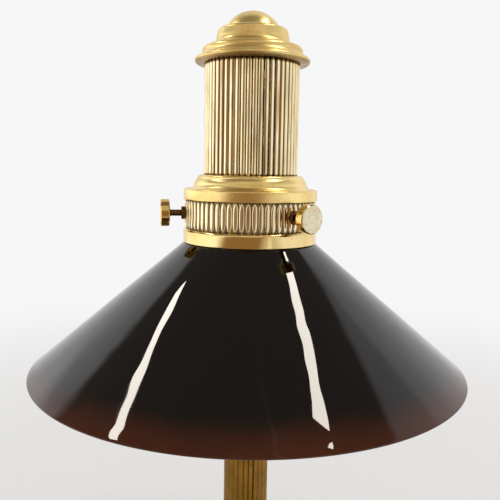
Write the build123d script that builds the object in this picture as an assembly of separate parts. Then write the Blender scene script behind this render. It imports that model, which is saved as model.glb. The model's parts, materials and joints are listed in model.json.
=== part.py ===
from build123d import *

import math
import os

# A brass table lamp. A reeded column on a weighted base carries one upright bulb. Three stays round the
# bulb hold up the gallery, in which three thumb screws clamp the neck of a conical glass shade. A reeded
# chimney and a turned cap stand on the gallery.
# Millimetres, +Z up. The origin is the middle of the underside, on the surface that the lamp stands on.

# Fits
FIT = 0.1  # radial play of pieces that are assembled once
RUN = 0.05  # radial play of the screws that turn
EASE = 0.1  # gap between a clamp tip and the glass
SEAT_GAP = 0.2  # gap under the glass lip

# Glass shade
SHADE_RADIUS = 140.0
SHADE_DROP = 82.3  # from the gallery's lower edge to the rim
GLASS = 3.2  # at the neck
RIM_GLASS = 2.2  # at the rim, where the blown glass is thinner
RIM_ROUND = 0.5  # round of the ground rim's outer edge
NECK_RADIUS = 37.5
NECK_ROUND = 2.6  # how far the round from neck to cone reaches
LIP_OUT = 1.7  # how far the lip stands out round the neck
SHADE_TOP_INSET = 0.63  # from the gallery's ring in to the line of the rim's round, where the cone starts
SHADE_TOP_DROP = 1.3  # below the gallery's lower edge

# Gallery, outwards from the lip of the glass
LIP_PLAY = 1.0
CUP_WALL = 1.0
CUP_DEPTH = 27.0
FLANGE = 1.5
FLANGE_EDGE = 3.5  # between the stays and the hole in the flange
RING_OUT = 2.15  # how far the ring stands out round the cup
RING_FACE = 6.6
RING_LIP = 0.9  # width of the ring's lower edge
RING_FLARE = 3.0  # height of the flare inside the ring
BAND_SHEET = 0.3
BAND_RIB_COUNT = 69
BAND_RIB_DEPTH = 0.95
BAND_RIB_GAP = 0.25
BAND_RIB_MARGIN = 0.8  # plain strip above and below the ribs
BAND_RIB_FACES = 5  # straight stretches of a rib from end to end

# Thumb screws
SCREW_COUNT = 3
SCREW_FIRST_ANGLE = -51.0
SCREW_BELOW_FLANGE = 8.8
SCREW_RADIUS = 2.0
BOSS_WALL = 2.1
BOSS_LENGTH = 3.4
BOSS_SPIGOT_WALL = 0.9
HEAD_RADIUS = 8.7
HEAD_THICKNESS = 5.8
HEAD_BEVEL = 0.6
HEAD_NECK_WALL = 1.2
HEAD_NECK = 1.2
SHANK_SHOWN = 7.4  # between the boss and the head
TIP_WALL = 0.45  # of the screw round its tip
TIP_OUT = 1.8  # how far a tip stands out of its screw
TIP_SEATED = 2.8
TIP_POCKET_SPARE = 0.2

# Chimney
CHIMNEY_RADIUS = 30.1  # over the reeds
CHIMNEY_REED_COUNT = 52
CHIMNEY_REED_DEPTH = 1.0
CHIMNEY_WALL = 1.7  # behind the grooves
CHIMNEY_LENGTH = 69.3

# Collar between the gallery and the chimney
COLLAR_OUT = 1.9  # how far its ring stands out round the cup
COLLAR_RING = 5.6
COLLAR_EASE = 1.3  # rounding of the ring's upper edge
COLLAR_STEP = 0.9  # flat between the ring and the cove
COLLAR_COVE_RISE = 3.1
COLLAR_SLOPE_RISE = 3.6
COLLAR_SLOPE_INSET = 2.0
COLLAR_SHOULDER = 2.0
COLLAR_LEDGE = 2.1  # flat round the chimney
COLLAR_WEB = 8.6
COLLAR_NUT_ROOM = 2.0
COLLAR_SPIGOT_WALL = 2.4

# Cap, in steps from its rim in and up
CAP_OVERHANG = 6.4
CAP_UNDERCUT = 1.4  # how far the rim draws in underneath
CAP_RIM_HEIGHT = 3.6
CAP_RIM_INSET = 1.1
CAP_FLARE_INSET = 3.6
CAP_FLARE_RISE = 3.0
CAP_STEP_HEIGHT = 0.8
CAP_SHOULDER_INSET = 3.9
CAP_SHOULDER_RISE = 3.2
CAP_COVE_INSET = 4.8
CAP_COVE_RISE = 4.8
CAP_DRUM_INSET = 0.8
CAP_DRUM_HEIGHT = 3.6
CAP_TOP_INSET = 2.6
CAP_TOP_RISE = 2.4
CAP_QUIRK_INSET = 2.5  # small hollow round the dome
CAP_QUIRK_RISE = 0.6
CAP_DOME_HEIGHT = 10.3
CAP_SPIGOT = 6.0
CAP_SPIGOT_WALL = 2.0
CAP_HOLLOW = 8.0  # depth of the wide hollow above the spigot
CAP_CROWN_WALL = 5.5
CAP_CROWN_HOLLOW = 11.0

# Bulb, a ball of 45 mm on a screw cap
BULB_RADIUS = 22.5
BULB_LENGTH = 73.0
BULB_GLASS = 0.8
BULB_CAP_RADIUS = 13.3
BULB_CAP_HEIGHT = 17.0
BULB_NECK_INSET = 0.7
BULB_TIP_RADIUS = 4.5
BULB_TIP_HEIGHT = 1.5
BULB_INSULATOR_INSET = 1.8
BULB_INSULATOR_HEIGHT = 3.5

# Lampholder round the bulb's cap
SCREW_SHELL_PLAY = 0.4
SCREW_SHELL_WALL = 0.5
SCREW_SHELL_HEIGHT = 17.0
HOLDER_AIR = 4.0  # between the screw shell and the wall
HOLDER_WALL = 1.8
HOLDER_CUP_HEIGHT = 14.0
HOLDER_CUP_FLOOR = 2.0
HOLDER_CUP_ROUND = 5.0
HOLDER_SKIRT_HEIGHT = 23.0
HOLDER_LIP = 1.6
HOLDER_MOUTH_PLAY = 2.9  # round the bulb's cap
INSULATOR_HEIGHT = 16.0
INSULATOR_FOOT_HEIGHT = 8.0
INSULATOR_FOOT_WALL = 1.4
CONTACT_WIDTH = 5.0
CONTACT_LENGTH = 15.0
CONTACT_SHEET = 0.5
CONTACT_RISE = 2.8
TERMINAL_CIRCLE = 9.5
TERMINAL_HEAD_RADIUS = 2.8
TERMINAL_HEAD_HEIGHT = 2.2
TERMINAL_SHANK_RADIUS = 1.5
TERMINAL_SHANK = 5.0

# Spider and stays
STAY_RADIUS = 2.5
STAY_PLAY = 1.8  # between the stays and the neck of the glass
STAY_LENGTH = 117.5  # between the spider and the gallery
STAY_END_RADIUS = 2.0
STAY_FIRST_ANGLE = 8.0
STAY_NUT_FLATS = 7.0
STAY_NUT = 3.2
STAY_THREAD_SHOWN = 1.0  # beyond a nut
SPIDER_HUB_RADIUS = 16.0
SPIDER_ARM_WIDTH = 10.0
SPIDER_THICKNESS = 3.0

# Column
COLUMN_RADIUS = 15.0  # over the reeds
COLUMN_REED_COUNT = 26
COLUMN_REED_DEPTH = 1.0
COLUMN_WALL = 2.0  # behind the grooves
COLUMN_LENGTH = 124.0
SPIGOT = 4.0  # depth of the spigots that centre the tubes
FOOT_RING_OUT = 17.0  # how far its ring stands out round the column
FOOT_RING_HEIGHT = 5.0
FOOT_COVE_RISE = 10.0
FOOT_NECK_OUT = 3.5
FOOT_NECK_HEIGHT = 5.0
FOOT_STEP = 1.0  # small steps between its mouldings
CAPITAL_NECK_OUT = 2.0
CAPITAL_NECK_HEIGHT = 3.0
CAPITAL_COVE_RISE = 5.0
CAPITAL_RING_OUT = 7.0
CAPITAL_RING_HEIGHT = 4.0

# Stem, a tube threaded end to end, and its nut
STEM_RADIUS = 5.0
STEM_WALL = 1.5
STEM_BELOW_NUT = 1.5
STEM_IN_HOLDER = 5.0
STEM_NUT_WALL = 3.5
STEM_NUT = 6.0
WASHER_OUT = 7.0  # how far the washer stands out round the stem
WASHER = 1.5
NUT_RECESS_PLAY = 2.0
NUT_RECESS_DEPTH = 12.0

# Base, from the table up
FELT = 2.0
FELT_SHOWN = 1.5  # how far the felt stands below the edge of the shell
FELT_PLAY = 0.6
BASE_RADIUS = 75.0
BASE_SHEET = 1.6
BASE_EDGE = 11.5  # upright edge
BASE_BEAD = 2.5  # rounding over the edge
BASE_LEDGE = 2.0
BASE_OVOLO_RISE = 11.5
BASE_STEP = 2.5
BASE_COVE_SPAN = 16.0
BASE_COVE_RISE = 8.5
BASE_LIP = 1.0  # upright edge and margin of the flat top
WEIGHT_GAP = 1.0  # between the iron and the slopes of the shell
WEIGHT_BOSS_RADIUS = 22.0

# Cord inlet bush, at the back of the base
INLET_BORE = 3.2
INLET_WALL = 1.0
INLET_FLANGE = 1.0  # how far the flange stands out round the barrel
INLET_FLANGE_THICKNESS = 2.0
INLET_BARREL = 7.0
CHANNEL_PLAY = 0.8  # round the barrel in the iron

# Radii that follow
CUP_INSIDE = NECK_RADIUS + LIP_OUT + LIP_PLAY
CUP_RADIUS = CUP_INSIDE + CUP_WALL
RING_RADIUS = CUP_RADIUS + RING_OUT
BAND_ROOT = CUP_RADIUS + FIT + BAND_SHEET  # to the flats that the ribs stand on
BAND_CREST = BAND_ROOT + BAND_RIB_DEPTH
COLLAR_RADIUS = CUP_RADIUS + COLLAR_OUT
STAY_CIRCLE = NECK_RADIUS - GLASS - STAY_PLAY - STAY_RADIUS
FLANGE_BORE = STAY_CIRCLE - STAY_RADIUS - FLANGE_EDGE
BOSS_RADIUS = SCREW_RADIUS + BOSS_WALL
BOSS_OUT = CUP_RADIUS + BOSS_LENGTH
BOSS_SPIGOT_RADIUS = SCREW_RADIUS + BOSS_SPIGOT_WALL
TIP_RADIUS = SCREW_RADIUS - TIP_WALL - RUN
CHIMNEY_BORE = CHIMNEY_RADIUS - CHIMNEY_REED_DEPTH - CHIMNEY_WALL
COLUMN_BORE = COLUMN_RADIUS - COLUMN_REED_DEPTH - COLUMN_WALL
BULB_NECK_RADIUS = BULB_CAP_RADIUS - BULB_NECK_INSET
BULB_INSULATOR_RADIUS = BULB_CAP_RADIUS - BULB_INSULATOR_INSET
SCREW_SHELL_BORE = BULB_CAP_RADIUS + SCREW_SHELL_PLAY
HOLDER_INSIDE = SCREW_SHELL_BORE + SCREW_SHELL_WALL + HOLDER_AIR
HOLDER_RADIUS = HOLDER_INSIDE + HOLDER_WALL
STEM_CLEAR = STEM_RADIUS + FIT
WASHER_RADIUS = STEM_RADIUS + WASHER_OUT
FOOT_RING_RADIUS = COLUMN_RADIUS + FOOT_RING_OUT
INLET_BARREL_RADIUS = INLET_BORE + INLET_WALL

# Heights of the stack
INLET_HEIGHT = FELT_SHOWN + BASE_EDGE / 2
LEDGE_HEIGHT = FELT_SHOWN + BASE_EDGE + BASE_BEAD
OVOLO_HEIGHT = LEDGE_HEIGHT + BASE_OVOLO_RISE
BASE_TOP = OVOLO_HEIGHT + BASE_COVE_RISE + BASE_LIP
NUT_RECESS_TOP = FELT + NUT_RECESS_DEPTH
STEM_NUT_TOP = NUT_RECESS_TOP - WASHER
FOOT_TOP = BASE_TOP + FOOT_RING_HEIGHT + FOOT_COVE_RISE + FOOT_NECK_HEIGHT
COLUMN_TOP = FOOT_TOP + COLUMN_LENGTH
SPIDER_BOTTOM = COLUMN_TOP + CAPITAL_NECK_HEIGHT + CAPITAL_COVE_RISE + CAPITAL_RING_HEIGHT
SPIDER_TOP = SPIDER_BOTTOM + SPIDER_THICKNESS
HOLDER_FLOOR_TOP = SPIDER_TOP + HOLDER_CUP_FLOOR
HOLDER_CUP_TOP = SPIDER_TOP + HOLDER_CUP_HEIGHT
INSULATOR_TOP = HOLDER_FLOOR_TOP + INSULATOR_HEIGHT
BULB_BOTTOM = INSULATOR_TOP + CONTACT_RISE
BULB_CAP_BOTTOM = BULB_BOTTOM + BULB_TIP_HEIGHT + BULB_INSULATOR_HEIGHT
BULB_CAP_TOP = BULB_CAP_BOTTOM + BULB_CAP_HEIGHT
BULB_CENTRE = BULB_BOTTOM + BULB_LENGTH - BULB_RADIUS
FLANGE_BOTTOM = SPIDER_TOP + STAY_LENGTH
FLANGE_TOP = FLANGE_BOTTOM + FLANGE
GALLERY_BOTTOM = FLANGE_BOTTOM - CUP_DEPTH
RING_TOP = GALLERY_BOTTOM + RING_FACE + RING_OUT
RIM_HEIGHT = GALLERY_BOTTOM - SHADE_DROP
SCREW_HEIGHT = FLANGE_BOTTOM - SCREW_BELOW_FLANGE
COLLAR_RISE = COLLAR_RING + COLLAR_EASE + COLLAR_COVE_RISE + COLLAR_SLOPE_RISE + COLLAR_SHOULDER
CHIMNEY_BOTTOM = FLANGE_BOTTOM + COLLAR_RISE
CHIMNEY_TOP = CHIMNEY_BOTTOM + CHIMNEY_LENGTH

QUARTER = math.tan(math.pi / 8) / 2  # bow of a quarter circle: its rise over its chord
BEAD = 0.25  # bow of a turned bead
ROLL = 0.3  # bow of a rolled rim
SWELL = 0.08  # bow of a slope that is only just rounded


def turned(start, *steps):
    """Turns a closed outline of (radius, height) points about Z. A third number bows the side that ends
    there outwards by that share of its chord, or hollows it if negative."""
    edges = []
    points = [start, *steps, start[:2]]
    for begin, end in zip(points, points[1:]):
        run = end[0] - begin[0]
        rise = end[1] - begin[1]
        if len(end) == 3:
            middle = (
                (begin[0] + end[0]) / 2 + end[2] * rise,
                (begin[1] + end[1]) / 2 - end[2] * run,
            )
            edges.append(ThreePointArc(begin[:2], middle, end[:2]))
        else:
            edges.append(Line(begin[:2], end[:2]))
    return revolve(Plane.XZ * make_face(edges), Axis.Z)


def plug(radius, low, high):
    """A plain cylinder about Z between two heights."""
    return Pos(0, 0, (low + high) / 2) * Cylinder(radius, high - low)


def ring(inner, outer, low, high):
    """A plain ring about Z between two heights."""
    return plug(outer, low, high) - plug(inner, low, high)


def radial(part, angle, height):
    """Lays a part made along +Z so that it points out from the lamp's axis."""
    return Rot(0, 0, angle) * Pos(0, 0, height) * Rot(0, 90, 0) * part


def screw_angles():
    return [SCREW_FIRST_ANGLE + i * 360 / SCREW_COUNT for i in range(SCREW_COUNT)]


def stay_angles():
    return [STAY_FIRST_ANGLE + i * 120 for i in range(3)]


def dome_bow(radius, height):
    """Bow of the arc from the edge of a spherical dome to its top."""
    return math.tan(math.atan(height / radius) / 2) / 2


def reeded_tube(reeds, crest, depth, bore, low, high):
    """A tube whose outside is a row of round upright reeds with sharp grooves between them."""
    step = 2 * math.pi / reeds
    arcs = []
    for i in range(reeds):
        corners = [(crest - depth, i * step), (crest, (i + 0.5) * step), (crest - depth, (i + 1) * step)]
        arcs.append(ThreePointArc(*[(r * math.cos(turn), r * math.sin(turn)) for r, turn in corners]))
    return Pos(0, 0, low) * extrude(make_face(arcs) - Circle(bore), high - low)


def hex_nut(flats, thickness, bore):
    return extrude(RegularPolygon(flats / 2, 6, major_radius=False) - Circle(bore), thickness)


# Base


def base_outline(inset):
    """Outer outline of the base from its edge up to the flat top, drawn in by the thickness of the sheet."""
    bead_r = BASE_RADIUS - BASE_BEAD
    top_r = FOOT_RING_RADIUS + BASE_LIP
    step_r = top_r + BASE_COVE_SPAN
    outline = [
        (BASE_RADIUS, LEDGE_HEIGHT - BASE_BEAD),
        (bead_r, LEDGE_HEIGHT, QUARTER),
        (bead_r - BASE_LEDGE, LEDGE_HEIGHT),
        (step_r + BASE_STEP, OVOLO_HEIGHT, QUARTER / 2),
        (step_r, OVOLO_HEIGHT),
        (top_r, OVOLO_HEIGHT + BASE_COVE_RISE, -QUARTER),
        (top_r, BASE_TOP),
    ]
    return [(r - inset, z - inset, *bow) for r, z, *bow in outline]


def felt_pad():
    return plug(BASE_RADIUS - BASE_SHEET - FELT_PLAY, 0, FELT)


def base_shell():
    """Spun brass shell, open underneath, with a hole for the stem and one at the back for the cord bush."""
    outer = turned((0, FELT_SHOWN), (BASE_RADIUS, FELT_SHOWN), *base_outline(0), (0, BASE_TOP))
    inside_r = BASE_RADIUS - BASE_SHEET
    hollow = turned(
        (0, FELT_SHOWN), (inside_r, FELT_SHOWN), *base_outline(BASE_SHEET), (0, BASE_TOP - BASE_SHEET)
    )
    shell = outer - hollow - plug(STEM_CLEAR, FELT_SHOWN, BASE_TOP)
    bush_hole = plug(INLET_BARREL_RADIUS + FIT, BASE_RADIUS - INLET_BARREL, BASE_RADIUS)
    return shell - radial(bush_hole, 90, INLET_HEIGHT)


def base_weight():
    """Iron disc with a boss up to the shell, a recess for the nut and a channel for the lead."""
    inset = BASE_SHEET + WEIGHT_GAP
    slope = [point[:2] for point in base_outline(inset)[:4]]
    disc = turned((0, FELT), (BASE_RADIUS - inset, FELT), *slope, (0, slope[-1][1]))
    boss = plug(WEIGHT_BOSS_RADIUS, FELT, BASE_TOP - BASE_SHEET)
    channel_half = INLET_BARREL_RADIUS + CHANNEL_PLAY
    channel_height = INLET_HEIGHT + channel_half - FELT
    channel = Box(2 * channel_half, BASE_RADIUS, channel_height)
    channel = Pos(0, BASE_RADIUS / 2, FELT + channel_height / 2) * channel
    bore = plug(STEM_CLEAR, FELT, BASE_TOP)
    return disc + boss - channel - bore - plug(WASHER_RADIUS + NUT_RECESS_PLAY, FELT, NUT_RECESS_TOP)


def base_washer():
    return ring(STEM_CLEAR, WASHER_RADIUS, STEM_NUT_TOP, NUT_RECESS_TOP)


def base_nut():
    nut = hex_nut(2 * (STEM_RADIUS + STEM_NUT_WALL), STEM_NUT, STEM_RADIUS + RUN)
    return Pos(0, 0, STEM_NUT_TOP - STEM_NUT) * nut


def cord_bush():
    barrel = INLET_BARREL_RADIUS
    flange = barrel + INLET_FLANGE
    face = BASE_RADIUS + INLET_FLANGE_THICKNESS
    bush = turned(
        (INLET_BORE, BASE_RADIUS - INLET_BARREL),
        (barrel, BASE_RADIUS - INLET_BARREL),
        (barrel, BASE_RADIUS),
        (flange, BASE_RADIUS),
        (flange, face - INLET_FLANGE / 2),
        (flange - INLET_FLANGE / 2, face, QUARTER),
        (INLET_BORE, face),
    )
    return radial(bush, 90, INLET_HEIGHT)


# Column


def stem_tube():
    low = STEM_NUT_TOP - STEM_NUT - STEM_BELOW_NUT
    return ring(STEM_RADIUS - STEM_WALL, STEM_RADIUS, low, HOLDER_FLOOR_TOP + STEM_IN_HOLDER)


def column_foot():
    """Turned moulding between the base and the column, with a spigot inside the tube."""
    ring_top = BASE_TOP + FOOT_RING_HEIGHT
    cove_top = ring_top + FOOT_COVE_RISE
    neck_r = COLUMN_RADIUS + FOOT_NECK_OUT
    spigot_r = COLUMN_BORE - FIT
    return turned(
        (STEM_CLEAR, BASE_TOP),
        (FOOT_RING_RADIUS, BASE_TOP),
        (FOOT_RING_RADIUS, ring_top, BEAD),
        (FOOT_RING_RADIUS - FOOT_STEP, ring_top),
        (neck_r, cove_top, -QUARTER),
        (neck_r + FOOT_STEP, cove_top),
        (neck_r + FOOT_STEP, cove_top + FOOT_NECK_HEIGHT / 2, BEAD),
        (neck_r, cove_top + FOOT_NECK_HEIGHT / 2),
        (neck_r, FOOT_TOP),
        (spigot_r, FOOT_TOP),
        (spigot_r, FOOT_TOP + SPIGOT),
        (STEM_CLEAR, FOOT_TOP + SPIGOT),
    )


def reeded_column():
    return reeded_tube(
        COLUMN_REED_COUNT, COLUMN_RADIUS, COLUMN_REED_DEPTH, COLUMN_BORE, FOOT_TOP, COLUMN_TOP
    )


def column_capital():
    """Turned moulding on top of the column, which the spider rests on."""
    neck_top = COLUMN_TOP + CAPITAL_NECK_HEIGHT
    cove_top = neck_top + CAPITAL_COVE_RISE
    neck_r = COLUMN_RADIUS + CAPITAL_NECK_OUT
    ring_r = COLUMN_RADIUS + CAPITAL_RING_OUT
    spigot_r = COLUMN_BORE - FIT
    return turned(
        (STEM_CLEAR, COLUMN_TOP - SPIGOT),
        (spigot_r, COLUMN_TOP - SPIGOT),
        (spigot_r, COLUMN_TOP),
        (neck_r, COLUMN_TOP),
        (neck_r, neck_top, BEAD),
        (ring_r, cove_top, -QUARTER),
        (ring_r, SPIDER_BOTTOM, BEAD),
        (STEM_CLEAR, SPIDER_BOTTOM),
    )


# Spider and stays


def stay_spider():
    """Flat plate with a hub on the stem and three arms that the stays stand on."""
    plate = Circle(SPIDER_HUB_RADIUS)
    for angle in stay_angles():
        arm = Pos(STAY_CIRCLE / 2, 0) * Rectangle(STAY_CIRCLE, SPIDER_ARM_WIDTH)
        end = Pos(STAY_CIRCLE, 0) * Circle(SPIDER_ARM_WIDTH / 2)
        plate += Rot(0, 0, angle) * (arm + end)
    plate -= Circle(STEM_CLEAR)
    for angle in stay_angles():
        plate -= Rot(0, 0, angle) * Pos(STAY_CIRCLE, 0) * Circle(STAY_END_RADIUS + FIT)
    return Pos(0, 0, SPIDER_BOTTOM) * extrude(plate, SPIDER_THICKNESS)


def at_stay(part, angle):
    return Rot(0, 0, angle) * Pos(STAY_CIRCLE, 0, 0) * part


def stay_rod(angle):
    """Brass rod with a thinner threaded end through the spider and through the gallery's flange."""
    spare = STAY_NUT + STAY_THREAD_SHOWN
    rod = turned(
        (0, SPIDER_BOTTOM - spare),
        (STAY_END_RADIUS, SPIDER_BOTTOM - spare),
        (STAY_END_RADIUS, SPIDER_TOP),
        (STAY_RADIUS, SPIDER_TOP),
        (STAY_RADIUS, FLANGE_BOTTOM),
        (STAY_END_RADIUS, FLANGE_BOTTOM),
        (STAY_END_RADIUS, FLANGE_TOP + spare),
        (0, FLANGE_TOP + spare),
    )
    return at_stay(rod, angle)


def stay_nuts(low):
    nut = Pos(0, 0, low) * hex_nut(STAY_NUT_FLATS, STAY_NUT, STAY_END_RADIUS + RUN)
    return Compound(children=[at_stay(nut, angle) for angle in stay_angles()])


# Lampholder and bulb


def holder_cup():
    """Cup of the lampholder, on the stem and on the spider."""
    return turned(
        (STEM_CLEAR, SPIDER_TOP),
        (HOLDER_RADIUS - HOLDER_CUP_ROUND, SPIDER_TOP),
        (HOLDER_RADIUS, SPIDER_TOP + HOLDER_CUP_ROUND, QUARTER),
        (HOLDER_RADIUS, HOLDER_CUP_TOP),
        (HOLDER_INSIDE, HOLDER_CUP_TOP),
        (HOLDER_INSIDE, HOLDER_FLOOR_TOP + HOLDER_CUP_ROUND - HOLDER_WALL),
        (HOLDER_RADIUS - HOLDER_CUP_ROUND, HOLDER_FLOOR_TOP, -QUARTER),
        (STEM_CLEAR, HOLDER_FLOOR_TOP),
    )


def holder_skirt():
    """Screwed ring over the cup that closes the lampholder round the bulb's cap."""
    top = HOLDER_CUP_TOP + HOLDER_SKIRT_HEIGHT
    mouth_r = BULB_CAP_RADIUS + HOLDER_MOUTH_PLAY
    return turned(
        (HOLDER_INSIDE, HOLDER_CUP_TOP),
        (HOLDER_RADIUS, HOLDER_CUP_TOP),
        (HOLDER_RADIUS, top - HOLDER_LIP),
        (HOLDER_RADIUS - HOLDER_LIP, top, QUARTER),
        (mouth_r, top),
        (mouth_r, top - HOLDER_LIP),
        (HOLDER_INSIDE, top - HOLDER_LIP),
    )


def terminal_places():
    return [Pos(side * TERMINAL_CIRCLE, 0, 0) for side in (-1, 1)]


def holder_insulator():
    """Porcelain block that stands on the floor of the cup, hollow underneath for the terminals."""
    foot_r = HOLDER_RADIUS - HOLDER_CUP_ROUND - FIT
    hollow_r = foot_r - INSULATOR_FOOT_WALL
    body_r = HOLDER_INSIDE - FIT
    shoulder = HOLDER_FLOOR_TOP + HOLDER_CUP_ROUND
    foot_top = HOLDER_FLOOR_TOP + INSULATOR_FOOT_HEIGHT
    block = turned(
        (hollow_r, HOLDER_FLOOR_TOP),
        (foot_r, HOLDER_FLOOR_TOP),
        (foot_r, shoulder),
        (body_r, shoulder),
        (body_r, INSULATOR_TOP),
        (0, INSULATOR_TOP),
        (0, foot_top),
        (hollow_r, foot_top),
    )
    for place in terminal_places():
        block -= place * plug(TERMINAL_SHANK_RADIUS + RUN, foot_top, foot_top + TERMINAL_SHANK + RUN)
    return block


def terminal_screws():
    low = HOLDER_FLOOR_TOP + INSULATOR_FOOT_HEIGHT
    screw = plug(TERMINAL_HEAD_RADIUS, low - TERMINAL_HEAD_HEIGHT, low)
    screw += plug(TERMINAL_SHANK_RADIUS, low, low + TERMINAL_SHANK)
    return Compound(children=[place * screw for place in terminal_places()])


def holder_screw_shell():
    """Thin brass sleeve that the bulb's cap screws into, on a foot round the contact."""
    outside = SCREW_SHELL_BORE + SCREW_SHELL_WALL
    return turned(
        (BULB_INSULATOR_RADIUS, INSULATOR_TOP),
        (outside, INSULATOR_TOP),
        (outside, INSULATOR_TOP + SCREW_SHELL_HEIGHT),
        (SCREW_SHELL_BORE, INSULATOR_TOP + SCREW_SHELL_HEIGHT),
        (SCREW_SHELL_BORE, INSULATOR_TOP + SCREW_SHELL_WALL),
        (BULB_INSULATOR_RADIUS, INSULATOR_TOP + SCREW_SHELL_WALL),
    )


def holder_contact():
    """Sprung strip under the bulb's tip, flat at one end and lifted in the middle."""
    half = CONTACT_LENGTH / 2
    lift = CONTACT_RISE - CONTACT_SHEET - RUN
    under = [(-half, 0), (-half / 2, 0), (0, lift), (half / 2, lift / 2)]
    over = [(x, z + CONTACT_SHEET) for x, z in reversed(under)]
    strip = Plane.XZ * make_face(Polyline(*under, *over, close=True))
    return Pos(0, 0, INSULATOR_TOP) * extrude(strip, CONTACT_WIDTH / 2, both=True)


def bulb_contact():
    return turned(
        (0, BULB_BOTTOM),
        (BULB_TIP_RADIUS - BULB_TIP_HEIGHT, BULB_BOTTOM),
        (BULB_TIP_RADIUS, BULB_BOTTOM + BULB_TIP_HEIGHT, QUARTER),
        (0, BULB_BOTTOM + BULB_TIP_HEIGHT),
    )


def bulb_insulator():
    low = BULB_BOTTOM + BULB_TIP_HEIGHT
    return turned(
        (0, low),
        (BULB_TIP_RADIUS, low),
        (BULB_INSULATOR_RADIUS, BULB_CAP_BOTTOM),
        (0, BULB_CAP_BOTTOM),
    )


def bulb_cap():
    return turned(
        (0, BULB_CAP_BOTTOM),
        (BULB_INSULATOR_RADIUS, BULB_CAP_BOTTOM),
        (BULB_CAP_RADIUS, BULB_CAP_BOTTOM + BULB_INSULATOR_INSET, QUARTER),
        (BULB_CAP_RADIUS, BULB_CAP_TOP),
        (0, BULB_CAP_TOP),
    )


def bulb_outline(inset):
    """Outline of the ball and its neck, from the cap to the top, drawn in by the thickness of the glass."""
    ball = BULB_RADIUS - inset
    neck = BULB_NECK_RADIUS - inset
    drop = math.sqrt(ball**2 - neck**2)
    below = math.asin(drop / ball)
    bow = math.tan((math.pi / 2 + below) / 4) / 2
    return [(neck, BULB_CAP_TOP), (neck, BULB_CENTRE - drop), (0, BULB_CENTRE + ball, bow)]


def bulb_glass():
    outer = turned((0, BULB_CAP_TOP), *bulb_outline(0))
    return outer - turned((0, BULB_CAP_TOP), *bulb_outline(BULB_GLASS))


# Gallery


def gallery_cup():
    """Spun cup with a ring round its mouth and a flange at its top that the stays are bolted to."""
    cup = turned(
        (RING_RADIUS - RING_LIP, GALLERY_BOTTOM),
        (RING_RADIUS, GALLERY_BOTTOM),
        (RING_RADIUS, GALLERY_BOTTOM + RING_FACE),
        (CUP_RADIUS, RING_TOP, QUARTER),
        (CUP_RADIUS, FLANGE_TOP),
        (FLANGE_BORE, FLANGE_TOP),
        (FLANGE_BORE, FLANGE_BOTTOM),
        (CUP_INSIDE, FLANGE_BOTTOM),
        (CUP_INSIDE, GALLERY_BOTTOM + RING_FLARE),
    )
    for angle in screw_angles():
        cup -= radial(plug(BOSS_SPIGOT_RADIUS + FIT, FLANGE_BORE, RING_RADIUS), angle, SCREW_HEIGHT)
    for angle in stay_angles():
        cup -= at_stay(plug(STAY_END_RADIUS + FIT, FLANGE_BOTTOM, FLANGE_TOP), angle)
    return cup


def band_rib():
    """One upright rib of the band, widest at mid height and running out to a point at both ends."""
    half_width = math.pi * BAND_ROOT / BAND_RIB_COUNT - BAND_RIB_GAP / 2
    radius = (half_width**2 + BAND_RIB_DEPTH**2) / (2 * BAND_RIB_DEPTH)
    half_length = (FLANGE_BOTTOM - RING_TOP) / 2 - BAND_RIB_MARGIN
    bend = (half_length**2 + BAND_RIB_DEPTH**2) / (2 * BAND_RIB_DEPTH)
    reach = half_length + BAND_RIB_MARGIN / 2
    heights = [reach * (2 * i / BAND_RIB_FACES - 1) for i in range(BAND_RIB_FACES + 1)]
    side = [(radius - bend + math.sqrt(bend**2 - z**2), z) for z in heights]
    spindle = turned((0, -reach), *side, (0, reach))
    spindle = Pos(BAND_CREST - radius, 0, (FLANGE_BOTTOM + RING_TOP) / 2) * spindle
    return split(spindle, Plane.YZ.offset(BAND_ROOT - FIT), keep=Keep.TOP)


def reeded_band():
    """Pressed strip with a pointed rib on each of its flats, soldered round the cup."""
    step = 360 / BAND_RIB_COUNT
    flats = RegularPolygon(BAND_ROOT, BAND_RIB_COUNT, major_radius=False, rotation=step / 2)
    band = Pos(0, 0, RING_TOP) * extrude(flats - Circle(CUP_RADIUS + FIT), FLANGE_BOTTOM - RING_TOP)
    rib = band_rib()
    band += [Rot(0, 0, i * step) * rib for i in range(BAND_RIB_COUNT)]
    for angle in screw_angles():
        band -= radial(plug(BOSS_RADIUS + FIT, CUP_RADIUS, BOSS_OUT), angle, SCREW_HEIGHT)
    return band


def screw_bosses():
    """Threaded bosses for the thumb screws, each with a spigot through the wall of the cup."""
    boss = ring(SCREW_RADIUS + RUN, BOSS_RADIUS, CUP_RADIUS, BOSS_OUT)
    boss += ring(SCREW_RADIUS + RUN, BOSS_SPIGOT_RADIUS, CUP_INSIDE, CUP_RADIUS)
    return Compound(children=[radial(boss, angle, SCREW_HEIGHT) for angle in screw_angles()])


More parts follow.
